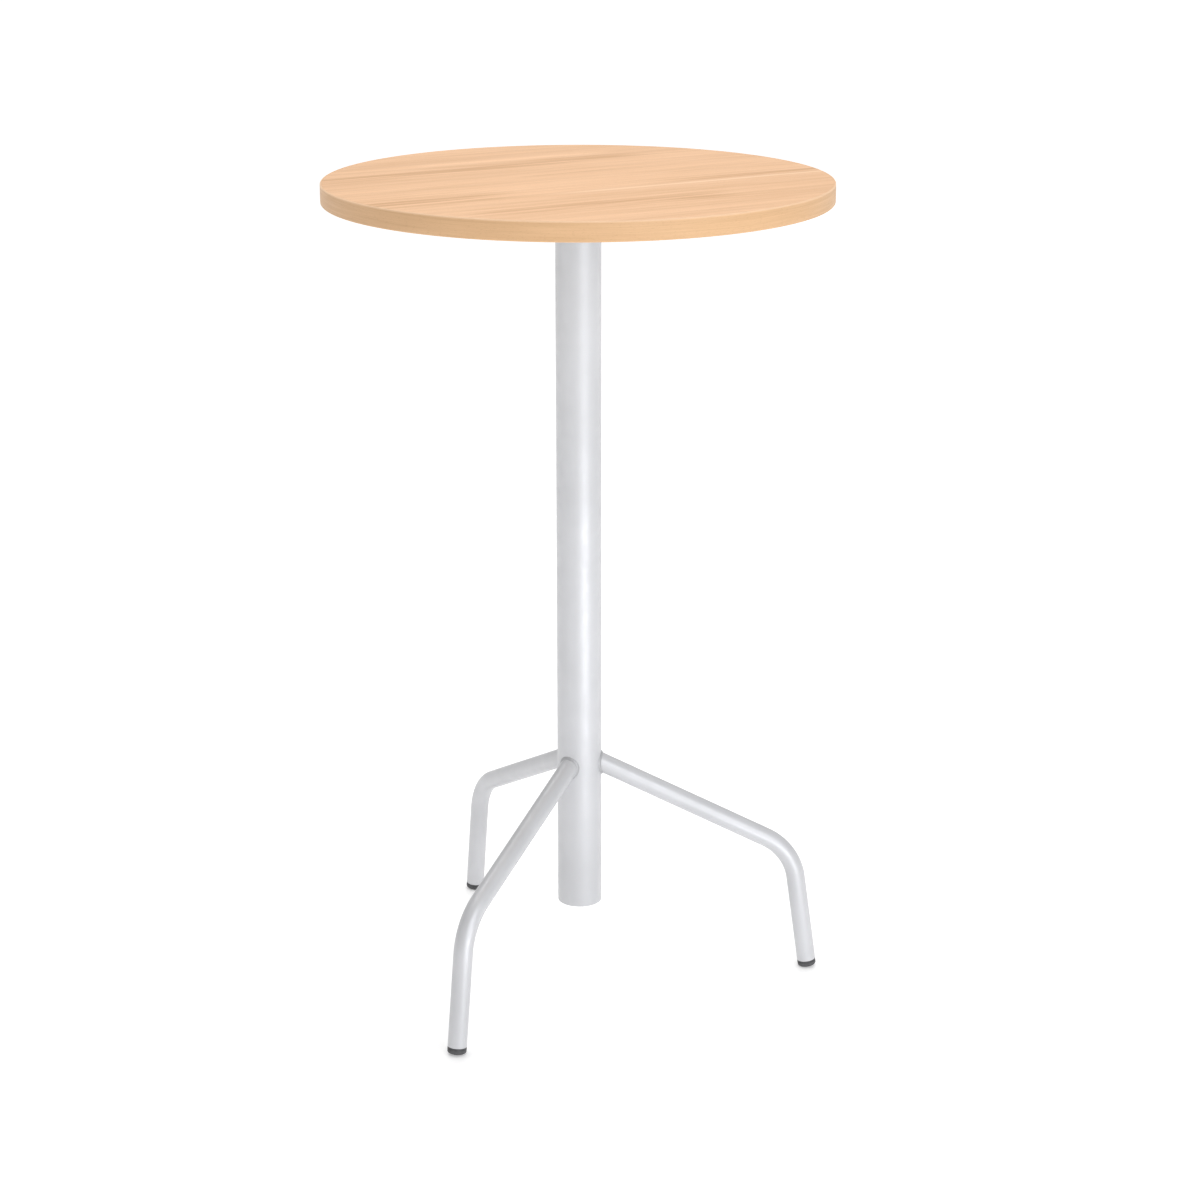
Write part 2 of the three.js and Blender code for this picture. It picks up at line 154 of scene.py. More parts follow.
INSERT_BODY_RADIUS = INSERT_RIB_RADIUS - INSERT_RIB_DEPTH
NUT_FLATS = 0.013
NUT_POCKET_FLATS = NUT_FLATS + 2 * FIT_GAP
NUT_POCKET_DEPTH = 0.0068
NUT_POCKET_BASE = INSERT_TOP - NUT_POCKET_DEPTH

# Weld beads: how far the section bulges, how deep it is sunk, and the ripples along it
BEAD_BULGE = 0.12
BEAD_SUNK = 0.0003
BEAD_RIPPLE = 0.09
BEAD_RIPPLE_LENGTH = 0.0019
BEAD_STEPS_PER_RIPPLE = 6
BEAD_SECTION_STEPS = 6

# Threads: how steep the flanks are, and the share of a tooth's height that the root flattens
THREAD_FLANK = 1.6
THREAD_ROOT = 0.3

# How finely round pieces are divided, and what counts as nothing
TOP_SEGMENTS = 256
COLUMN_SEGMENTS = 128
LEG_SEGMENTS = 64
FOOT_SEGMENTS = 64
SCREW_SEGMENTS = 32
NUT_SIDES = 6
ARC_STEPS = 6
ARRIS_STEPS = 2
PAD_DOME_STEPS = 12
BEND_STEPS = 40
THREAD_STEPS = 12
NEGLIGIBLE = 1e-7
MERGE_DISTANCE = 2e-6
ARRIS_ANGLE = math.radians(60)
SHARP_ANGLE = math.radians(32)

# Finishes: colours are in linear light, and noise and cells repeat so many times to the metre
NOISE_LOW = 0.3
NOISE_HIGH = 0.7

# Beech: each layer's repeats along and across the grain, the range of its noise, and its share of the tone
BROAD_REPEATS = (1.1, 15, 1)
BROAD_RANGE = (0.34, 0.68)
BROAD_SHARE = 0.3
STREAK_REPEATS = (2.6, 75, 1)
STREAK_RANGE = (0.36, 0.66)
STREAK_SHARE = 0.26
LINE_REPEATS = (11, 620, 1)
LINE_RANGE = (0.35, 0.65)
LINE_SHARE = 0.2
RAY_REPEATS = (170, 1700, 1)
RAY_RANGE = (0.63, 0.72)
RAY_SHARE = 0.45
RAY_RELIEF = 0.8
PORE_DEPTH = 0.00005
BEECH_ROUGHNESS = (0.43, 0.54)
BEECH_SPECULAR = 0.4

# Top sheet
SHEET_PALE = (0.86, 0.53, 0.305, 1.0)
SHEET_DARK = (0.60, 0.335, 0.155, 1.0)
SHEET_FLECK = (0.50, 0.27, 0.13, 1.0)
SHEET_LINE = (0.93, 0.66, 0.45, 1.0)
GRAIN_ANGLE = math.radians(30)
# Growth bands: place across the grain, half width, start and end along the grain, and share of darkening
GROWTH_BANDS = (
    (0.215, 0.02, -0.2, 0.2, -0.3),
    (0.165, 0.046, -0.5, 0.24, 0.4),
    (0.06, 0.012, -0.1, 0.25, 0.2),
    (-0.01, 0.01, -0.35, 0.0, 0.2),
    (-0.065, 0.06, -0.5, -0.1, 0.5),
    (-0.072, 0.014, 0.05, 0.5, 0.4),
    (-0.2, 0.05, -0.3, 0.15, 0.3),
)
PALE_LINE = (-0.098, 0.008, -0.12, 0.5, 0.55)
BAND_FADE = 0.1
BAND_WANDER = 4
COMB_RANGE = (0.34, 0.66)
COMB_WEAK = 0.2
COMB_STRONG = 1.8

# Edge band, with a painted highlight along its upper arris
EDGE_PALE = (0.735, 0.465, 0.258, 1.0)
EDGE_DARK = (0.53, 0.315, 0.155, 1.0)
EDGE_FLECK = (0.40, 0.22, 0.105, 1.0)
EDGE_PAINTED_HIGHLIGHT = (0.90, 0.62, 0.40, 1.0)
ARRIS_HIGHLIGHT_START = BAND_HIGH.z - 1.4 * BAND_ROUNDING
ARRIS_HIGHLIGHT_FULL = BAND_HIGH.z - 0.5 * BAND_ROUNDING
ARRIS_HIGHLIGHT_SHARE = 0.6

# Silver powder coat
COAT_DARK = (0.55, 0.552, 0.568, 1.0)
COAT_PALE = (0.59, 0.592, 0.61, 1.0)
# Painted shade for the crease round each weld
COAT_CREASE_SHADE = (0.18, 0.18, 0.185, 1.0)
COAT_CLOUD = 9
COAT_FLAKE = 3800
COAT_SPARKLE = 0.05
COAT_GLOSS = 60
COAT_ROUGHNESS = (0.38, 0.48)
COAT_PEEL = 700
COAT_PEEL_DEPTH = 0.00006
COAT_GRIT = 2600
COAT_GRIT_DEPTH = 0.00002
# The mark that a weld's points carry, and how far painted crease shade darkens the coat over them
WELD_MARK = "weld"
WELD_SHADE_SHARE = 0.45

# Dark plastic
PLASTIC_DARK = (0.06, 0.06, 0.063, 1.0)
PLASTIC_PALE = (0.085, 0.085, 0.089, 1.0)
PLASTIC_SCUFF = (0.17, 0.168, 0.165, 1.0)
PLASTIC_CLOUD = 140
SCUFF_HEIGHT = 0.003
SCUFF_SPOT = 420
SCUFF_RANGE = (0.45, 0.7)
PLASTIC_GLOSS = 900
PLASTIC_ROUGHNESS = (0.5, 0.66)
PLASTIC_TEXTURE = 2200
PLASTIC_TEXTURE_DEPTH = 0.00004

# Zinc-plated steel
ZINC_BLUE = (0.55, 0.58, 0.62, 1.0)
ZINC_YELLOW = (0.62, 0.60, 0.53, 1.0)
ZINC_TINT = 160
ZINC_TINT_RANGE = (0.35, 0.65)
ZINC_GLOSS = 700
ZINC_ROUGHNESS = (0.25, 0.42)
ZINC_GRAIN = 1800
ZINC_GRAIN_DEPTH = 0.00002

# Chipboard
CHIP_DARK = (0.36, 0.22, 0.10, 1.0)
CHIP_PALE = (0.62, 0.45, 0.24, 1.0)
CHIP_REPEATS = 330
CHIP_FLATTENING = (1, 1, 2.4)
CHIP_SHADES = 3
CHIP_ROUGHNESS = (0.8, 0.95)
CHIP_DEPTH = 0.0003

# Balancing sheet
BACKING_DARK = (0.70, 0.655, 0.57, 1.0)
BACKING_PALE = (0.78, 0.735, 0.65, 1.0)
BACKING_SPECK = 1500
BACKING_SPECK_RANGE = (0.4, 0.62)
BACKING_GLOSS = 240
BACKING_ROUGHNESS = (0.58, 0.72)
BACKING_EMBOSS = 520
BACKING_EMBOSS_DEPTH = 0.00006

# Camera at the photograph's viewpoint, with angles in radians and the lens and sensor in millimetres
CAMERA_DISTANCE = 3.737
CAMERA_HEIGHT = 1.7189
CAMERA_SWING = 0.00752
CAMERA_HEADING = 0.00045
CAMERA_PITCH = 0.29908
SENSOR_WIDTH = 36
LENS = 82.38

# Studio: the floor glows a little more away from the table, so that it meets the white of the photograph
FLOOR_HALF = 40
FLOOR_NEAR = 0.6
FLOOR_FAR = 3.0
FLOOR_NEAR_GLOW = 0.27
FLOOR_FAR_GLOW = 0.45
FLOOR_DARK = (0.93, 0.93, 0.93, 1.0)
FLOOR_PALE = (0.94, 0.94, 0.94, 1.0)
FLOOR_CLOUD = 2
WORLD_COLOUR = (1.0, 1.0, 1.0, 1.0)
WORLD_STRENGTH = 0.64
KEY_BEARING = math.radians(31)
KEY_DISTANCE = 2.6
KEY_MIDDLE = 1.7
KEY_WIDTH = 1.9
KEY_HEIGHT = 1.8
KEY_WATTS = 25
STRIP_DISTANCE = 1.35
STRIP_WIDTH = 0.9
STRIP_HEIGHT = 0.25
STRIP_WATTS = 3.5
OVERHEAD_HEIGHT = 4.0
OVERHEAD_SIZE = 3.0
OVERHEAD_BACK = 1.0
OVERHEAD_WATTS = 66
COOL_TINT = (0.95, 0.97, 1.0)
PLAIN_TINT = (1.0, 1.0, 1.0)


# Node materials

class Finish:
    """A node material under construction."""

    def __init__(self, name, **fixed):
        self.material = bpy.data.materials.new(name)
        self.material.use_nodes = True
        self.tree = self.material.node_tree
        self.shader = self.tree.nodes["Principled BSDF"]
        for socket, value in fixed.items():
            self.shader.inputs[socket.replace("_", " ")].default_value = value

    def node(self, kind, inputs, **settings):
        made = self.tree.nodes.new(kind)
        for name, value in settings.items():
            setattr(made, name, value)
        for socket, value in inputs.items():
            self.feed(made.inputs[socket], value)
        return made

    def feed(self, socket, value):
        if isinstance(value, bpy.types.NodeSocket):
            self.tree.links.new(value, socket)
        else:
            socket.default_value = value

    def set(self, socket, value):
        self.feed(self.shader.inputs[socket], value)

    def place(self):
        """The point on the piece, in metres."""
        return self.node("ShaderNodeTexCoord", {}).outputs["Object"]

    def attribute(self, name):
        return self.node("ShaderNodeAttribute", {}, attribute_name=name).outputs["Fac"]

    def split(self, vector):
        return self.node("ShaderNodeSeparateXYZ", {0: vector}).outputs

    def joined(self, x, y, z):
        return self.node("ShaderNodeCombineXYZ", {0: x, 1: y, 2: z}).outputs[0]

    def math(self, operation, a, b=0.0, c=0.0):
        return self.node("ShaderNodeMath", {0: a, 1: b, 2: c}, operation=operation).outputs[0]

    def length(self, vector):
        return self.node("ShaderNodeVectorMath", {0: vector}, operation="LENGTH").outputs["Value"]

    def stretched(self, vector, scales):
        made = self.node("ShaderNodeVectorMath", {0: vector, 1: scales}, operation="MULTIPLY")
        return made.outputs["Vector"]

    def turned(self, vector, angle):
        return self.node("ShaderNodeVectorRotate", {"Vector": vector, "Angle": angle}).outputs[0]

    def noise(self, vector, scale=1.0, detail=2.0, roughness=0.5, distortion=0.0):
        inputs = {"Vector": vector, "Scale": scale, "Detail": detail}
        inputs.update({"Roughness": roughness, "Distortion": distortion})
        return self.node("ShaderNodeTexNoise", inputs).outputs[0]

    def cells(self, vector, scale):
        return self.node("ShaderNodeTexVoronoi", {"Vector": vector, "Scale": scale}).outputs

    def ramp(self, value, low, high, to_low=0.0, to_high=1.0):
        inputs = {0: value, 1: low, 2: high, 3: to_low, 4: to_high}
        return self.node("ShaderNodeMapRange", inputs, interpolation_type="SMOOTHSTEP").outputs[0]

    def spread(self, noise, low=0.0, high=1.0):
        """Noise, spread from the range that it mostly keeps to over the range from low to high."""
        return self.ramp(noise, NOISE_LOW, NOISE_HIGH, low, high)

    def mix(self, share, a, b, blend="MIX"):
        inputs = {0: share, 6: a, 7: b}
        return self.node("ShaderNodeMix", inputs, data_type="RGBA", blend_type=blend).outputs[2]

    def bump(self, height, depth, strength=0.5, below=None):
        inputs = {"Height": height, "Distance": depth, "Strength": strength}
        if below is not None:
            inputs["Normal"] = below
        return self.node("ShaderNodeBump", inputs).outputs[0]


def beech_figure(finish, grain, pale, dark, fleck, bands=0.0):
    """Soft streaks, fine lines and short ray flecks, on a vector whose x runs along the grain."""
    broad = finish.noise(finish.stretched(grain, BROAD_REPEATS), detail=3, roughness=0.55, distortion=0.3)
    streak = finish.noise(finish.stretched(grain, STREAK_REPEATS), detail=3, roughness=0.6, distortion=0.2)
    line = finish.noise(finish.stretched(grain, LINE_REPEATS), detail=3, roughness=0.6)
    ray = finish.noise(finish.stretched(grain, RAY_REPEATS), detail=1)
    comb = finish.ramp(streak, *COMB_RANGE, COMB_WEAK, COMB_STRONG)
    tone = finish.math("MULTIPLY", bands, comb)
    tone = finish.math("ADD", tone, finish.ramp(broad, *BROAD_RANGE, 0.0, BROAD_SHARE))
    tone = finish.math("ADD", tone, finish.ramp(streak, *STREAK_RANGE, 0.0, STREAK_SHARE))
    tone = finish.math("ADD", tone, finish.ramp(line, *LINE_RANGE, 0.0, LINE_SHARE))
    rays = finish.ramp(ray, *RAY_RANGE, 0.0, RAY_SHARE)
    pores = finish.math("SUBTRACT", line, finish.math("MULTIPLY", rays, RAY_RELIEF))
    finish.set("Roughness", finish.spread(line, *BEECH_ROUGHNESS))
    finish.set("Normal", finish.bump(pores, PORE_DEPTH))
    return finish.mix(rays, finish.mix(tone, pale, dark), fleck)


def growth_band(finish, grain, middle, half_width, start, end, weight):
    """A wavering band of the figure along the grain, which fades in and out at its ends."""
    along, across, _ = finish.split(grain)
    wander = finish.noise(finish.joined(along, 0.0, middle), BAND_WANDER)
    centre = finish.math("MULTIPLY_ADD", wander, half_width, middle - half_width / 2)
    off = finish.math("ABSOLUTE", finish.math("SUBTRACT", across, centre))
    fade_in = finish.ramp(along, start, start + BAND_FADE, 0.0, weight)
    fade_out = finish.ramp(along, end - BAND_FADE, end, 1.0, 0.0)
    reach = finish.math("MULTIPLY", fade_in, fade_out)
    return finish.math("MULTIPLY", finish.ramp(off, 0.0, half_width, 1.0, 0.0), reach)


def beech_laminate():
    finish = Finish("beech_laminate", Specular_IOR_Level=BEECH_SPECULAR)
    grain = finish.turned(finish.place(), -GRAIN_ANGLE)
    bands = 0.0
    for band in GROWTH_BANDS:
        bands = finish.math("ADD", bands, growth_band(finish, grain, *band))
    figure = beech_figure(finish, grain, SHEET_PALE, SHEET_DARK, SHEET_FLECK, bands)
    line = growth_band(finish, grain, *PALE_LINE)
    finish.set("Base Color", finish.mix(line, figure, SHEET_LINE))
    return finish.material


def beech_edge():
    """The same figure running round the band, with its joint at the back and a painted highlight along its
    upper arris.
    """
    finish = Finish("beech_edge", Specular_IOR_Level=BEECH_SPECULAR)
    x, y, z = finish.split(finish.place())
    turn = finish.math("ARCTAN2", x, finish.math("MULTIPLY", y, -1.0))
    grain = finish.joined(finish.math("MULTIPLY", turn, TOP_RADIUS), z, 0.0)
    figure = beech_figure(finish, grain, EDGE_PALE, EDGE_DARK, EDGE_FLECK)
    # Painted highlight: the band turns paler towards its upper arris, where light catches the rounding
    painted_highlight = finish.ramp(z, ARRIS_HIGHLIGHT_START, ARRIS_HIGHLIGHT_FULL, 0.0, ARRIS_HIGHLIGHT_SHARE)
    finish.set("Base Color", finish.mix(painted_highlight, figure, EDGE_PAINTED_HIGHLIGHT))
    return finish.material


def silver_coat():
    """Satin powder coat with orange peel, a faint sparkle and uneven gloss, with painted shade over the
    welds.
    """
    finish = Finish("silver_coat", Metallic=0.35, Coat_Weight=0.12, Coat_Roughness=0.3)
    place = finish.place()
    cloud = finish.noise(place, COAT_CLOUD, detail=3)
    flake = finish.cells(place, COAT_FLAKE)["Color"]
    base = finish.mix(finish.spread(cloud), COAT_DARK, COAT_PALE)
    # Painted shade: the coat darkens over the weld beads, standing in for the shadow in the crease of each
    # joint
    crease_shade = finish.math("MULTIPLY", finish.attribute(WELD_MARK), WELD_SHADE_SHARE)
    base = finish.mix(crease_shade, base, COAT_CREASE_SHADE)
    finish.set("Base Color", finish.mix(COAT_SPARKLE, base, flake, "OVERLAY"))
    gloss = finish.noise(place, COAT_GLOSS, detail=3)
    finish.set("Roughness", finish.spread(gloss, *COAT_ROUGHNESS))
    peel = finish.bump(finish.noise(place, COAT_PEEL), COAT_PEEL_DEPTH)
    grit = finish.noise(place, COAT_GRIT, detail=1)
    finish.set("Normal", finish.bump(grit, COAT_GRIT_DEPTH, below=peel))
    return finish.material


def dark_plastic():
    """Moulded plastic with a spark-eroded texture, scuffed pale where it rubs on the floor."""
    finish = Finish("dark_plastic")
    place = finish.place()
    height = finish.split(place)[2]
    cloud = finish.noise(place, PLASTIC_CLOUD, detail=3)
    base = finish.mix(finish.spread(cloud), PLASTIC_DARK, PLASTIC_PALE)
    spots = finish.noise(place, SCUFF_SPOT, detail=4, roughness=0.7)
    low = finish.ramp(height, 0.0, SCUFF_HEIGHT, 1.0, 0.0)
    scuff = finish.math("MULTIPLY", low, finish.ramp(spots, *SCUFF_RANGE))
    finish.set("Base Color", finish.mix(scuff, base, PLASTIC_SCUFF))
    gloss = finish.noise(place, PLASTIC_GLOSS)
    finish.set("Roughness", finish.spread(gloss, *PLASTIC_ROUGHNESS))
    texture = finish.noise(place, PLASTIC_TEXTURE)
    finish.set("Normal", finish.bump(texture, PLASTIC_TEXTURE_DEPTH, strength=0.6))
    return finish.material


def zinc_steel():
    """Bright zinc plate with a faint cloudy blue-yellow tint."""
    finish = Finish("zinc_steel", Metallic=1.0)
    place = finish.place()
    tint = finish.ramp(finish.noise(place, ZINC_TINT, detail=3), *ZINC_TINT_RANGE)
    finish.set("Base Color", finish.mix(tint, ZINC_BLUE, ZINC_YELLOW))
    gloss = finish.noise(place, ZINC_GLOSS, detail=3)
    finish.set("Roughness", finish.spread(gloss, *ZINC_ROUGHNESS))
    finish.set("Normal", finish.bump(finish.noise(place, ZINC_GRAIN), ZINC_GRAIN_DEPTH))
    return finish.material


def chipboard():
    """Flat chips, each of its own shade."""
    finish = Finish("chipboard", Specular_IOR_Level=0.25)
    chip = finish.cells(finish.stretched(finish.place(), CHIP_FLATTENING), CHIP_REPEATS)
    shade = finish.noise(chip["Color"], CHIP_SHADES, detail=1)
    finish.set("Base Color", finish.mix(finish.spread(shade), CHIP_DARK, CHIP_PALE))
    finish.set("Roughness", finish.spread(shade, *CHIP_ROUGHNESS))
    finish.set("Normal", finish.bump(chip["Distance"], CHIP_DEPTH, strength=0.6))
    return finish.material


def backing_sheet():
    """Plain balancing sheet with a fine speckle and a leathery emboss."""
    finish = Finish("backing_sheet", Specular_IOR_Level=0.3)
    place = finish.place()
    speck = finish.ramp(finish.noise(place, BACKING_SPECK), *BACKING_SPECK_RANGE)
    finish.set("Base Color", finish.mix(speck, BACKING_DARK, BACKING_PALE))
    gloss = finish.noise(place, BACKING_GLOSS, detail=3)
    finish.set("Roughness", finish.spread(gloss, *BACKING_ROUGHNESS))
    emboss = finish.noise(place, BACKING_EMBOSS, detail=3)
    finish.set("Normal", finish.bump(emboss, BACKING_EMBOSS_DEPTH))
    return finish.material


FINISHES = {
    "beech_laminate": beech_laminate(),
    "beech_edge": beech_edge(),
    "silver_coat": silver_coat(),
    "dark_plastic": dark_plastic(),
    "zinc_steel": zinc_steel(),
    "chipboard": chipboard(),
    "backing_sheet": backing_sheet(),
}


# Mesh building

def skin(mesh, ring, following):
    """Faces between two rings of points, either of which may be a single point."""
    for i in range(max(len(ring), len(following))):
        corners = [ring[i % len(ring)], ring[(i + 1) % len(ring)]]
        corners += [following[(i + 1) % len(following)], following[i % len(following)]]
        mesh.faces.new(dict.fromkeys(corners))


def lofted(rings, closed):
    """A surface through rings of points, from the last ring back to the first where it is closed."""
    mesh = bmesh.new()
    loops = [[mesh.verts.new(point) for point in ring] for ring in rings]
    pairs = list(zip(loops, loops[1:]))
    if closed:
        pairs.append((loops[-1], loops[0]))
    for ring, following in pairs:
        skin(mesh, ring, following)
    bmesh.ops.recalc_face_normals(mesh, faces=mesh.faces)
    return mesh


def around(segments):
    return [i * math.tau / segments for i in range(segments)]


def turned(profile, segments):
    """A solid of revolution about Z. Its profile starts and ends on the axis, or else closes on itself."""
    rings = []
    for radius, height in profile:
        turns = around(segments) if radius > NEGLIGIBLE else [0.0]
        rings.append([(radius * math.cos(turn), radius * math.sin(turn), height) for turn in turns])
    return lofted(rings, closed=len(rings[0]) > 1)


def rounded(corners):
    """A profile through (radius, height, rounding) corners, with an arc where there is a rounding."""
    points = []
    for i, (radius, height, rounding) in enumerate(corners):
        here = Vector((radius, height))
        if rounding == 0:
            points.append(here)
            continue
        before = (Vector(corners[i - 1][:2]) - here).normalized()
        after = (Vector(corners[(i + 1) % len(corners)][:2]) - here).normalized()
        half = before.angle(after) / 2
        centre = here + (before + after).normalized() * rounding / math.sin(half)
        first = here + before * rounding / math.tan(half) - centre
        last = here + after * rounding / math.tan(half) - centre
        start = math.atan2(first.y, first.x)
        sweep = (math.atan2(last.y, last.x) - start + math.pi) % math.tau - math.pi
        for step in range(ARC_STEPS + 1):
            turn = start + sweep * step / ARC_STEPS
            points.append(centre + Vector((math.cos(turn), math.sin(turn))) * rounding)
    return points


def prism(outline, bottom, top, top_scale=1.0):
    """A solid between two levels, tapered where its top has another scale."""
    base = [(x, y, bottom) for x, y in outline]
    cover = [(x * top_scale, y * top_scale, top) for x, y in outline]
    mesh = lofted([base, cover], closed=False)
    bmesh.ops.holes_fill(mesh, edges=mesh.edges, sides=len(outline))
    bmesh.ops.recalc_face_normals(mesh, faces=mesh.faces)
    return mesh


def slab(outline, holes, bottom, top):
    """A flat sheet with holes through it."""
    mesh = bmesh.new()
    edges = []
    for loop in [outline, *holes]:
        corners = [mesh.verts.new((x, y, bottom)) for x, y in loop]
        edges += [mesh.edges.new(pair) for pair in zip(corners, corners[1:] + corners[:1])]
    bmesh.ops.triangle_fill(mesh, use_beauty=True, edges=edges)
    raised = bmesh.ops.extrude_face_region(mesh, geom=mesh.faces[:])["geom"]
    corners = [item for item in raised if isinstance(item, bmesh.types.BMVert)]
    bmesh.ops.translate(mesh, vec=(0, 0, top - bottom), verts=corners)
    bmesh.ops.recalc_face_normals(mesh, faces=mesh.faces)
    return mesh


def circle(x, y, radius, segments):
    return [(x + radius * math.cos(turn), y + radius * math.sin(turn)) for turn in around(segments)]


def scratch(mesh):
    data = bpy.data.meshes.new("scratch")
    mesh.to_mesh(data)
    mesh.free()
    made = bpy.data.objects.new("scratch", data)
    bpy.context.scene.collection.objects.link(made)
    return made


def carved(mesh, cutter):
    """The mesh with the cutter's shape taken out of it."""
    body, tool = scratch(mesh), scratch(cutter)
    cut = body.modifiers.new("cut", "BOOLEAN")
    cut.object = tool
    cut.solver = "EXACT"
    result = bmesh.new()
    result.from_object(body, bpy.context.evaluated_depsgraph_get())
    bmesh.ops.remove_doubles(result, verts=result.verts, dist=MERGE_DISTANCE)
    for used in (body, tool):
        bpy.data.meshes.remove(used.data)
    return result


def threaded(core, crest, pitch, bottom, top):
    """Rings of a right-hand thread along Z, fading in and out over one pitch at its ends."""
    count = round((top - bottom) / pitch * THREAD_STEPS)
    rings = []
    for step in range(count + 1):
        height = bottom + (top - bottom) * step / count
        depth = min(1.0, (height - bottom) / pitch, (top - height) / pitch) * (crest - core)
        ring = []
        for turn in around(SCREW_SEGMENTS):
            phase = (height / pitch - turn / math.tau) % 1.0
            tooth = THREAD_FLANK * (1 - abs(2 * phase - 1)) - THREAD_ROOT
            tooth = min(1.0, max(0.0, tooth))
            radius = core + depth * tooth
            ring.append((radius * math.cos(turn), radius * math.sin(turn), height))
        rings.append(ring)
    return rings


def flat_ring(radius, height, segments):
    return [(x, y, height) for x, y in circle(0, 0, radius, segments)]


def piece(node, mesh, place=Matrix()):
    """A finished piece in a CAD node's place, with that node's body and material slot."""
    data = bpy.data.meshes.new(node + "_form")
    mesh.transform(place)
    mesh.to_mesh(data)
    mesh.free()
    data.shade_smooth()
    data.set_sharp_from_angle(angle=SHARP_ANGLE)
    data.materials.append(FINISHES[SLOTS[node]])
    made = bpy.data.objects.new(node + "_form", data)
    bpy.context.scene.collection.objects.link(made)
    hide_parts(node)
    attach(made, frame["nodes"][node]["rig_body"])


# Table top

def screw_places():
    steps = (-SCREW_REACH, 0.0, SCREW_REACH)
    return [(x, y) for x in steps for y in steps if x or y]


def screw_holes():
    return [circle(x, y, SCREW_HOLE, SCREW_SEGMENTS) for x, y in screw_places()]


def table_top():
    sheet = rounded([
        (0.0, SHEET_LOW.z, 0),
        (SHEET_RADIUS, SHEET_LOW.z, 0),
        (SHEET_RADIUS, SHEET_HIGH.z, SHEET_ARRIS),
        (0.0, SHEET_HIGH.z, 0),
    ])
    piece("top_laminate", turned(sheet, TOP_SEGMENTS))
    band = rounded([
        (TOP_RADIUS - BAND_THICKNESS, BAND_LOW.z, 0),
        (TOP_RADIUS, BAND_LOW.z, BAND_ROUNDING),
        (TOP_RADIUS, BAND_HIGH.z, BAND_ROUNDING),
        (TOP_RADIUS - BAND_THICKNESS, BAND_HIGH.z, 0),
    ])
    piece("edge_band", turned(band, TOP_SEGMENTS))
    backing = circle(0, 0, BACKING_RADIUS, TOP_SEGMENTS)
    piece("underside_laminate", slab(backing, screw_holes(), BACKING_LOW.z, BACKING_HIGH.z))


def plate_outline():
    """A square with rounded corners, from the corner where x and y are positive."""
    straight = PLATE_HALF - PLATE_CORNER
    points = []
    for quarter, (x_side, y_side) in enumerate(((1, 1), (-1, 1), (-1, -1), (1, -1))):
        for step in range(ARC_STEPS + 1):
            turn = (quarter + step / ARC_STEPS) * math.pi / 2
            x = x_side * straight + PLATE_CORNER * math.cos(turn)
            y = y_side * straight + PLATE_CORNER * math.sin(turn)
            points.append((x, y))
    return points


def is_arris(edge):
    """Whether an edge runs level round a face of the plate."""
    rise = abs(edge.verts[0].co.z - edge.verts[1].co.z)
    return rise < NEGLIGIBLE and edge.calc_face_angle(0.0) > ARRIS_ANGLE


def top_plate():
    mesh = slab(plate_outline(), screw_holes(), PLATE_LOW.z, PLATE_HIGH.z)
    arrises = [edge for edge in mesh.edges if is_arris(edge)]
    bmesh.ops.bevel(mesh, geom=arrises, offset=PLATE_ARRIS, segments=ARRIS_STEPS, affect="EDGES")
    piece("top_plate", mesh)


def cross_outline():
    """The four arms of a screw's recess, each from its own end to the corner before the next arm."""
    arm = (
        (RECESS_SPAN, -RECESS_HALF_WIDTH),
        (RECESS_SPAN, RECESS_HALF_WIDTH),
        (RECESS_HALF_WIDTH, RECESS_HALF_WIDTH),
    )
    points = []
    for cosine, sine in ((1, 0), (0, 1), (-1, 0), (0, -1)):
        points += [(x * cosine - y * sine, x * sine + y * cosine) for x, y in arm]
    return points


def top_screw():
    """A pan-head wood screw pointing up, with the underside of its head at height zero."""
    length = SCREW_HIGH.z - SCREW_LOW.z - SCREW_HEAD_HEIGHT
    head = rounded([
        (0.0, -SCREW_HEAD_HEIGHT, 0),
        (SCREW_HEAD, -SCREW_HEAD_HEIGHT, SCREW_CROWN_ROUNDING),
        (SCREW_HEAD, 0.0, 0),
    ])
    rings = [flat_ring(radius, height, SCREW_SEGMENTS) for radius, height in head[1:]]
    rings += threaded(SCREW_CORE, SCREW_SHANK, SCREW_PITCH, 0.0, length - SCREW_TIP)
    mesh = lofted([[(0, 0, -SCREW_HEAD_HEIGHT)], *rings, [(0, 0, length)]], closed=False)
    mouth = -SCREW_HEAD_HEIGHT - RECESS_HALF_WIDTH
    bottom = RECESS_DEPTH - SCREW_HEAD_HEIGHT
    return carved(mesh, prism(cross_outline(), mouth, bottom, RECESS_TAPER))


def top_screws():
    for number, (x, y) in enumerate(screw_places(), start=1):
        lift = SCREW_LOW.z + SCREW_HEAD_HEIGHT
        piece(f"top_screw_{number}", top_screw(), Matrix.Translation((x, y, lift)))


# Column

def column():
    bore = COLUMN_RADIUS - COLUMN_WALL
    tube = rounded([
        (bore, COLUMN_LOW.z, COLUMN_RIM / 2),
        (COLUMN_RADIUS, COLUMN_LOW.z, COLUMN_RIM),
        (COLUMN_RADIUS, COLUMN_HIGH.z, 0),
        (bore, COLUMN_HIGH.z, 0),
    ])
    piece("column_tube", turned(tube, COLUMN_SEGMENTS))
    inside = CAP_RADIUS - CAP_WALL
    cap = rounded([
        (0.0, CAP_LOW.z + CAP_DISH, 0),
        (CAP_DISH_RADIUS - CAP_DISH, CAP_LOW.z + CAP_DISH, CAP_DISH),
        (CAP_DISH_RADIUS, CAP_LOW.z, CAP_DISH),
        (CAP_RADIUS, CAP_LOW.z, CAP_ROUNDING),
        (CAP_RADIUS, CAP_HIGH.z, CAP_DISH),
        (inside, CAP_HIGH.z, CAP_DISH),
        (inside, CAP_LOW.z + CAP_WALL, CAP_ROUNDING),
        (0.0, CAP_LOW.z + CAP_WALL, 0),
    ])
    piece("column_end_cap", turned(cap, COLUMN_SEGMENTS))


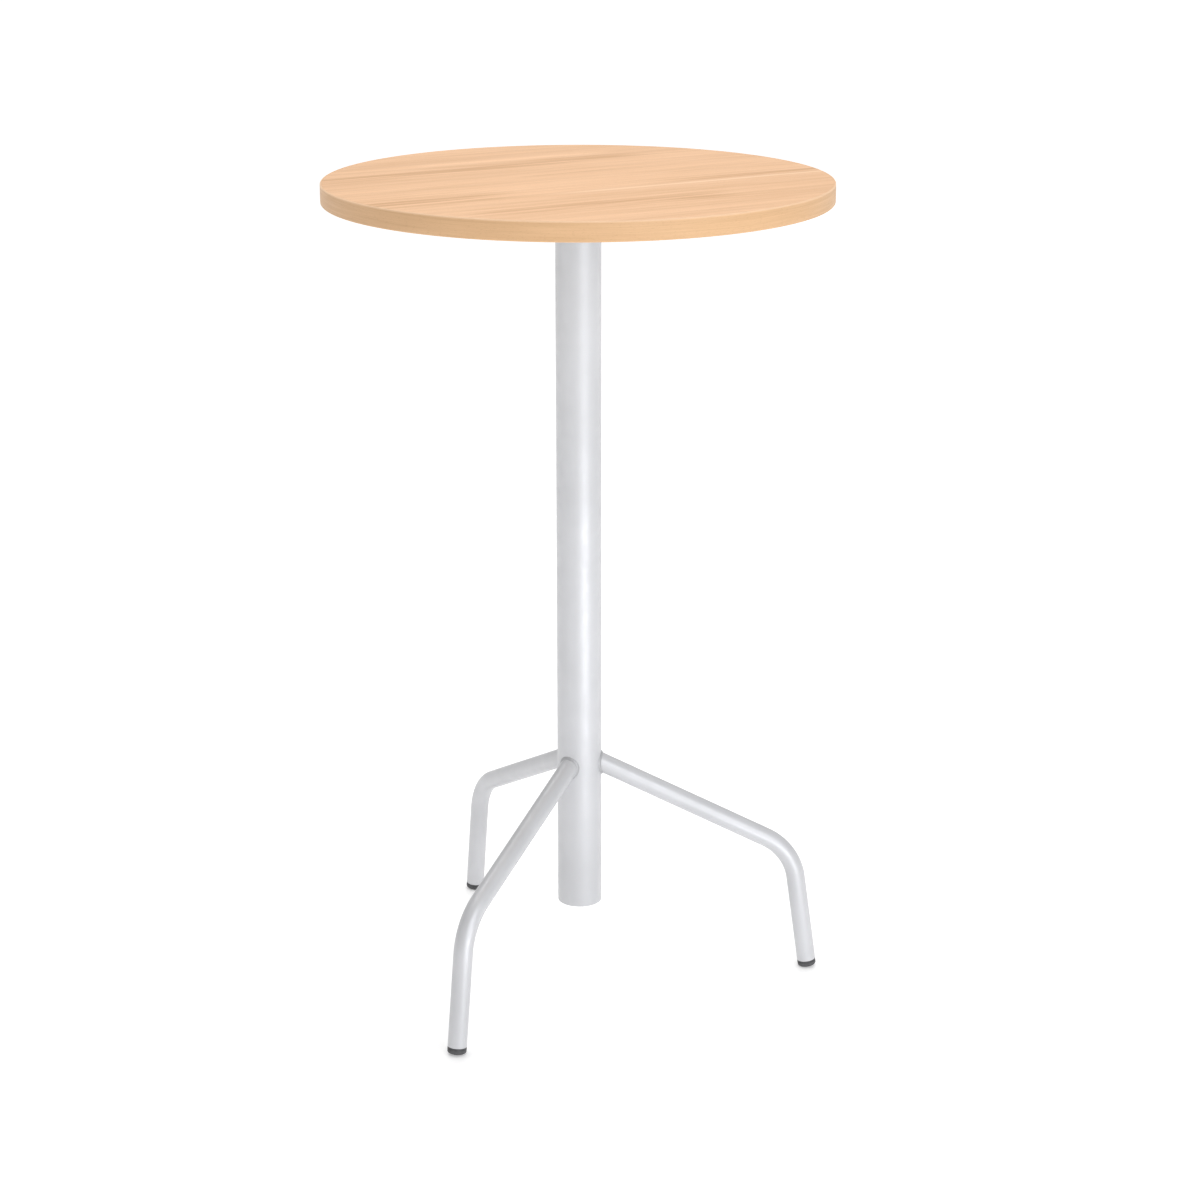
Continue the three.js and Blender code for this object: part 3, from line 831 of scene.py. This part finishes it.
def bead(corners, size, length):
    """A rippled fillet bead. Each corner is a point in the joint and the ways out of it along both faces."""
    ripples = round(length / BEAD_RIPPLE_LENGTH)
    rings = []
    for i in range(ripples * BEAD_STEPS_PER_RIPPLE):
        share = i / (ripples * BEAD_STEPS_PER_RIPPLE)
        corner, one, other = corners(share * math.tau)
        bulge = BEAD_BULGE + BEAD_RIPPLE * abs(math.sin(math.pi * ripples * share))
        out = (one + other).normalized()
        toe, far_toe = corner + one * size, corner + other * size
        ring = [corner - out * BEAD_SUNK, toe - other * BEAD_SUNK]
        for step in range(BEAD_SECTION_STEPS + 1):
            t = step / BEAD_SECTION_STEPS
            rise = 4 * t * (1 - t) * size * bulge
            ring.append(toe.lerp(far_toe, t) + out * rise)
        ring.append(far_toe - one * BEAD_SUNK)
        rings.append(ring)
    mesh = lofted(rings, closed=True)
    mark = mesh.verts.layers.float.new(WELD_MARK)
    for vertex in mesh.verts:
        vertex[mark] = 1.0
    return mesh


def plate_weld_corner(turn):
    """The joint of the column with the underside of the plate, and the ways out of it."""
    outward = Vector((math.cos(turn), math.sin(turn), 0))
    return outward * COLUMN_RADIUS + Vector((0, 0, PLATE_LOW.z)), outward, Vector((0, 0, -1))


# Legs, made in the plane of X and Z and then turned into place

def leg_direction(slope):
    return Vector((math.cos(slope), 0, -math.sin(slope)))


def leg_normal(slope, turn=0.0):
    """The way out of the tube's surface, from its upper side round to its sides."""
    upper = Vector((math.sin(slope), 0, math.cos(slope)))
    return upper * math.cos(turn) + Vector((0, math.sin(turn), 0))


def leg_run_start():
    """Where the line of the upper run leaves the column's axis."""
    return Vector((0, 0, LEG_CORNER.y + LEG_CORNER.x * math.tan(LEG_SLOPE)))


def leg_axis():
    """Points along the tube's axis past its coped end, each with the tube's slope there."""
    corner = Vector((LEG_CORNER.x, 0, LEG_CORNER.y))
    upright = math.pi / 2 - LEG_SPLAY
    setback = LEG_BEND_RADIUS * math.tan((upright - LEG_SLOPE) / 2)
    bend_start = corner - leg_direction(LEG_SLOPE) * setback
    centre = bend_start - leg_normal(LEG_SLOPE) * LEG_BEND_RADIUS
    run_start = leg_run_start() + leg_direction(LEG_SLOPE) * COPE_CLEARANCE
    axis = [(run_start, LEG_SLOPE)]
    for step in range(BEND_STEPS + 1):
        slope = LEG_SLOPE + (upright - LEG_SLOPE) * step / BEND_STEPS
        axis.append((centre + leg_normal(slope) * LEG_BEND_RADIUS, slope))
    foot = Vector((FOOT_REACH, 0, 0))
    axis.append((foot - leg_direction(upright) * (LEG_END + LEG_RIM), upright))
    return axis


def coped_point(radius, turn, column_radius):
    """Where a line along the upper run's surface meets the column's surface."""
    side = leg_normal(LEG_SLOPE, turn) * radius
    reach = math.sqrt(column_radius ** 2 - side.y ** 2)
    along = (reach - side.x) / math.cos(LEG_SLOPE)
    return leg_run_start() + side + leg_direction(LEG_SLOPE) * along


def tube_ring(point, slope, radius):
    """A circle square to the tube, round a point on its axis."""
    return [point + leg_normal(slope, turn) * radius for turn in around(LEG_SEGMENTS)]


def leg_tube():
    """A bent tube with its bore, its upper end shaped to the column and its lower rim softened."""
    axis = leg_axis()
    end, upright = axis[-1]
    outer, inner = (
        [[coped_point(radius, turn, COLUMN_RADIUS + FIT_GAP) for turn in around(LEG_SEGMENTS)]]
        + [tube_ring(point, slope, radius) for point, slope in axis]
        for radius in (LEG_RADIUS, LEG_BORE)
    )
    rim = []
    for step in range(1, ARC_STEPS + 1):
        turn = step / ARC_STEPS * math.pi / 2
        along = end + leg_direction(upright) * LEG_RIM * math.sin(turn)
        rim.append(tube_ring(along, upright, LEG_RADIUS - LEG_RIM * (1 - math.cos(turn))))
    rim.append(tube_ring(end + leg_direction(upright) * LEG_RIM, upright, LEG_BORE))
    return lofted(outer + rim + inner[::-1], closed=True)


def leg_weld_corner(turn):
    """The joint of a leg with the column, and the ways out of it."""
    corner = coped_point(LEG_RADIUS, turn, COLUMN_RADIUS)
    off_leg = leg_normal(LEG_SLOPE, turn)
    off_column = Vector((corner.x, corner.y, 0)).normalized()
    seam = off_column.cross(off_leg).normalized()
    up_column = seam.cross(off_column)
    down_leg = off_leg.cross(seam)
    return corner, up_column, down_leg


def leg_turn(number):
    """The turn about the column from the first leg to this one."""
    return Matrix.Rotation((number - 1) * math.tau / LEG_COUNT, 4, "Z")


def foot_place(number):
    """From a foot made upright at the origin to its place under a leg."""
    lean = Matrix.Rotation(-LEG_SPLAY, 4, "Y")
    return leg_turn(number) @ Matrix.Translation((FOOT_REACH, 0, 0)) @ lean


# Feet, made upright and then leant with the leg

def leg_insert():
    """A ribbed plug with a flange, a bore for the stud and a pocket for the nut."""
    pitch = INSERT_LENGTH / INSERT_RIBS
    corners = [
        (STUD_BORE, FLANGE_BASE, 0),
        (PAD_RADIUS, FLANGE_BASE, FLANGE_ROUNDING),
        (PAD_RADIUS, FLANGE_TOP, FLANGE_ROUNDING),
        (INSERT_BODY_RADIUS, FLANGE_TOP, 0),
    ]
    for rib in range(INSERT_RIBS):
        base = FLANGE_TOP + rib * pitch
        corners.append((INSERT_RIB_RADIUS, base + pitch / 2, FLANGE_ROUNDING))
        corners.append((INSERT_BODY_RADIUS, base + pitch, 0))
    corners.append((STUD_BORE, INSERT_TOP, 0))
    hexagon = circle(0, 0, NUT_POCKET_FLATS / math.sqrt(3), NUT_SIDES)
    pocket = prism(hexagon, NUT_POCKET_BASE, INSERT_TOP + FIT_GAP)
    return carved(turned(rounded(corners), FOOT_SEGMENTS), pocket)


def glide_stud():
    """A threaded stud pointing up from its flat head, with a chamfered end."""
    head = [flat_ring(STUD_HEAD, height, SCREW_SEGMENTS) for height in (STUD_HEAD_BASE, STUD_HEAD_TOP)]
    shank = threaded(STUD_MINOR, STUD_MAJOR, STUD_PITCH, STUD_HEAD_TOP, STUD_TOP - STUD_CHAMFER)
    end = flat_ring(STUD_MINOR - STUD_CHAMFER, STUD_TOP, SCREW_SEGMENTS)
    return lofted([[(0, 0, STUD_HEAD_BASE)], *head, *shank, end, [(0, 0, STUD_TOP)]], closed=False)


def glide_pad():
    """A domed pad with a pocket for the stud's head. Its base is as shallow a cone as the leg's splay."""
    base = Vector((PAD_BASE_RADIUS, PAD_BASE_RADIUS * math.tan(LEG_SPLAY)))
    corner = Vector((PAD_RADIUS, PAD_RADIUS * math.tan(LEG_SPLAY)))
    shoulder = Vector((PAD_RADIUS, PAD_SHOULDER))
    profile = [Vector((0, 0))]
    for step in range(PAD_DOME_STEPS + 1):
        t = step / PAD_DOME_STEPS
        profile.append(base.lerp(corner, t).lerp(corner.lerp(shoulder, t), t))
    pocket = STUD_HEAD + FIT_GAP
    profile += rounded([
        (PAD_RADIUS, PAD_SHOULDER, 0),
        (PAD_RADIUS, PAD_HEIGHT, PAD_RIM),
        (STUD_BORE, PAD_HEIGHT, 0),
        (STUD_BORE, STUD_HEAD_TOP + FIT_GAP, 0),
        (pocket, STUD_HEAD_TOP + FIT_GAP, 0),
        (pocket, STUD_HEAD_BASE - FIT_GAP, 0),
        (0.0, STUD_HEAD_BASE - FIT_GAP, 0),
    ])[1:]
    return turned(profile, FOOT_SEGMENTS)


def legs():
    weld_length = math.tau * LEG_RADIUS
    for number in range(1, LEG_COUNT + 1):
        piece(f"leg_tube_{number}", leg_tube(), leg_turn(number))
        piece(f"leg_weld_{number}", bead(leg_weld_corner, LEG_WELD_SIZE, weld_length), leg_turn(number))
        piece(f"leg_insert_{number}", leg_insert(), foot_place(number))
        piece(f"glide_stud_{number}", glide_stud(), foot_place(number))
        piece(f"glide_pad_{number}", glide_pad(), foot_place(number))


def carried_over_nodes():
    """The hidden pieces whose solids are right already take their slot's finish."""
    hidden = ["top_core"] + [f"insert_nut_{number}" for number in range(1, LEG_COUNT + 1)]
    for node in hidden:
        data = frame["nodes"][node].data
        data.materials.clear()
        data.materials.append(FINISHES[SLOTS[node]])


# Studio

def floor():
    data = bpy.data.meshes.new("floor")
    corners = [(x * FLOOR_HALF, y * FLOOR_HALF, 0) for x, y in ((-1, -1), (1, -1), (1, 1), (-1, 1))]
    data.from_pydata(corners, [], [(0, 1, 2, 3)])
    finish = Finish("studio_floor", Roughness=0.3)
    place = finish.place()
    glow = finish.ramp(finish.length(place), FLOOR_NEAR, FLOOR_FAR, FLOOR_NEAR_GLOW, FLOOR_FAR_GLOW)
    finish.set("Emission Strength", glow)
    shade = finish.spread(finish.noise(place, FLOOR_CLOUD))
    finish.set("Base Color", finish.mix(shade, FLOOR_DARK, FLOOR_PALE))
    data.materials.append(finish.material)
    made = bpy.data.objects.new("floor", data)
    bpy.context.scene.collection.objects.link(made)


def softbox(name, place, aim, width, height, watts, tint):
    """A rectangular area light that faces a point."""
    data = bpy.data.lights.new(name, "AREA")
    data.shape = "RECTANGLE"
    data.size = width
    data.size_y = height
    data.energy = watts
    data.color = tint
    made = bpy.data.objects.new(name, data)
    made.location = place
    made.rotation_euler = (Vector(aim) - Vector(place)).to_track_quat("-Z", "Y").to_euler()
    bpy.context.scene.collection.objects.link(made)


def studio():
    floor()
    world = bpy.data.worlds.new("studio")
    world.use_nodes = True
    background = world.node_tree.nodes["Background"]
    background.inputs["Color"].default_value = WORLD_COLOUR
    background.inputs["Strength"].default_value = WORLD_STRENGTH
    bpy.context.scene.world = world
    bpy.context.scene.view_settings.view_transform = "Standard"
    key_way = Vector((math.sin(KEY_BEARING), -math.cos(KEY_BEARING), 0))
    key_middle = Vector((0, 0, KEY_MIDDLE))
    key_place = key_middle + key_way * KEY_DISTANCE
    softbox("key", key_place, key_middle, KEY_WIDTH, KEY_HEIGHT, KEY_WATTS, COOL_TINT)
    strip_middle = Vector((0, 0, STRIP_HEIGHT / 2))
    strip_place = strip_middle + key_way * STRIP_DISTANCE
    softbox("strip", strip_place, strip_middle, STRIP_WIDTH, STRIP_HEIGHT, STRIP_WATTS, COOL_TINT)
    overhead_place = (0, OVERHEAD_BACK, OVERHEAD_HEIGHT)
    softbox("overhead", overhead_place, (0, 0, 0), OVERHEAD_SIZE, OVERHEAD_SIZE, OVERHEAD_WATTS, PLAIN_TINT)


def camera():
    data = bpy.data.cameras.new("camera")
    data.sensor_fit = "HORIZONTAL"
    data.sensor_width = SENSOR_WIDTH
    data.lens = LENS
    made = bpy.data.objects.new("camera", data)
    side = CAMERA_DISTANCE * math.sin(CAMERA_SWING)
    made.location = (side, -CAMERA_DISTANCE * math.cos(CAMERA_SWING), CAMERA_HEIGHT)
    made.rotation_euler = (math.pi / 2 - CAMERA_PITCH, 0, -CAMERA_HEADING)
    bpy.context.scene.collection.objects.link(made)
    bpy.context.scene.camera = made


camera()
studio()
table_top()
top_plate()
piece("top_plate_weld", bead(plate_weld_corner, PLATE_WELD_SIZE, math.tau * COLUMN_RADIUS))
top_screws()
column()
legs()
carried_over_nodes()
